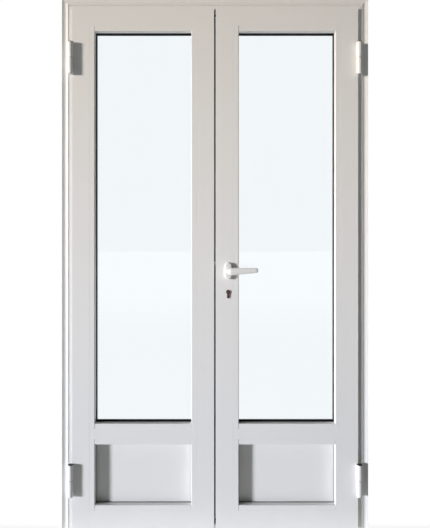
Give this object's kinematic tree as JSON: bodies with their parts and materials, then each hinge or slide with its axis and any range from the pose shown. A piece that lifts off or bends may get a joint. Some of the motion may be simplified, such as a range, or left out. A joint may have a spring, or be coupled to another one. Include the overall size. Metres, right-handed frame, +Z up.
{
  "type": "pair of french doors with frame",
  "caption": "Two-leaf glazed door with solid kick panels in a white metal frame; leaves swing into the room, one with lever and lock.",
  "frame": {"origin": "middle of the threshold's underside, half-way through the frame's depth", "axes": "+X to the right seen from the room, +Y from the room to the outside, +Z up"},
  "size_m": [1.23, 0.175, 2.13],
  "materials": {
    "white_coat": "satin",
    "hinge_coat": "satin",
    "lever_coat": "satin",
    "panel_skin": "satin",
    "mill_alloy": "satin",
    "spacer_alloy": "satin",
    "clear_glass": "gloss",
    "black_rubber": "matte",
    "black_plastic": "satin",
    "nylon": "satin",
    "steel": "satin",
    "bronze": "satin"
  },
  "bodies": {
    "frame": {"frame_jamb_left": "white_coat", "frame_jamb_right": "white_coat", "frame_head": "white_coat", "threshold": "mill_alloy", "frame_corner_cleats": "mill_alloy", "frame_seal": "black_rubber", "bolt_keeps": "steel", "hinge_frame_halves": "hinge_coat", "hinge_pins": "steel", "hinge_washers": "steel", "hinge_foot_caps": "hinge_coat"},
    "left_leaf": {"left_hinge_stile": "white_coat", "left_meeting_stile": "white_coat", "left_top_rail": "white_coat", "left_mid_rail": "white_coat", "left_bottom_rail": "white_coat", "left_corner_cleats": "mill_alloy", "left_glass_panes": "clear_glass", "left_glass_spacer": "spacer_alloy", "left_glazing_seals": "black_rubber", "left_beads": "white_coat", "left_panel": "panel_skin", "left_setting_blocks": "nylon", "left_lip_seal": "black_rubber", "left_hinge_leaf_halves": "hinge_coat", "left_hinge_caps": "black_plastic", "left_meeting_seal": "black_rubber", "left_strike_plate": "steel", "left_bolt_guides": "nylon"},
    "right_leaf": {"right_hinge_stile": "white_coat", "right_meeting_stile": "white_coat", "right_top_rail": "white_coat", "right_mid_rail": "white_coat", "right_bottom_rail": "white_coat", "right_corner_cleats": "mill_alloy", "right_glass_panes": "clear_glass", "right_glass_spacer": "spacer_alloy", "right_glazing_seals": "black_rubber", "right_beads": "white_coat", "right_panel": "panel_skin", "right_setting_blocks": "nylon", "right_lip_seal": "black_rubber", "right_hinge_leaf_halves": "hinge_coat", "right_hinge_caps": "black_plastic", "lock_case": "steel", "lock_faceplate": "steel", "rosette_inside": "lever_coat", "rosette_outside": "lever_coat", "knob_outside": "lever_coat", "cylinder_body": "bronze"},
    "lever_set": {"lever_inside": "lever_coat", "spindle": "steel", "lock_follower": "steel"},
    "latch": {"latch_bolt": "steel"},
    "key_plug": {"cylinder_plugs": "bronze", "cylinder_cam": "steel"},
    "dead": {"dead_bolt": "steel"},
    "flush_top": {"left_flush_bolt_top": "steel"},
    "flush_bottom": {"left_flush_bolt_bottom": "steel"}
  },
  "joints": [
    {"name": "right_leaf_swing", "type": "hinge", "parent": "frame", "child": "right_leaf", "pos_m": [0.575, -0.0445, 1], "axis": [0, 0, 1], "range_deg": [0, 170]},
    {"name": "left_leaf_swing", "type": "hinge", "parent": "frame", "child": "left_leaf", "pos_m": [-0.575, -0.0445, 1], "axis": [0, 0, -1], "range_deg": [0, 170]},
    {"name": "lever_turn", "type": "hinge", "parent": "right_leaf", "child": "lever_set", "pos_m": [0.053, 0, 1.038], "axis": [0, 1, 0], "range_deg": [0, 40], "stiffness_Nm_per_rad": 1, "springref_deg": -28.65},
    {"name": "latch_slide", "type": "slide", "parent": "right_leaf", "child": "latch", "axis": [1, 0, 0], "range_m": [0, 0.011]},
    {"name": "key_turn", "type": "hinge", "parent": "right_leaf", "child": "key_plug", "pos_m": [0.053, 0, 0.953], "axis": [0, 1, 0], "range_deg": [0, 360]},
    {"name": "deadbolt_throw", "type": "slide", "parent": "right_leaf", "child": "dead", "axis": [-1, 0, 0], "range_m": [0, 0.02]},
    {"name": "top_bolt_slide", "type": "slide", "parent": "left_leaf", "child": "flush_top", "axis": [0, 0, 1], "range_m": [0, 0.022]},
    {"name": "bottom_bolt_slide", "type": "slide", "parent": "left_leaf", "child": "flush_bottom", "axis": [0, 0, -1], "range_m": [0, 0.022]}
  ],
  "couplings": [
    {"joint": "latch_slide", "follows": "lever_turn", "m_per_rad": 0.01575},
    {"joint": "key_turn", "follows": "deadbolt_throw", "rad_per_m": 314.15}
  ]
}
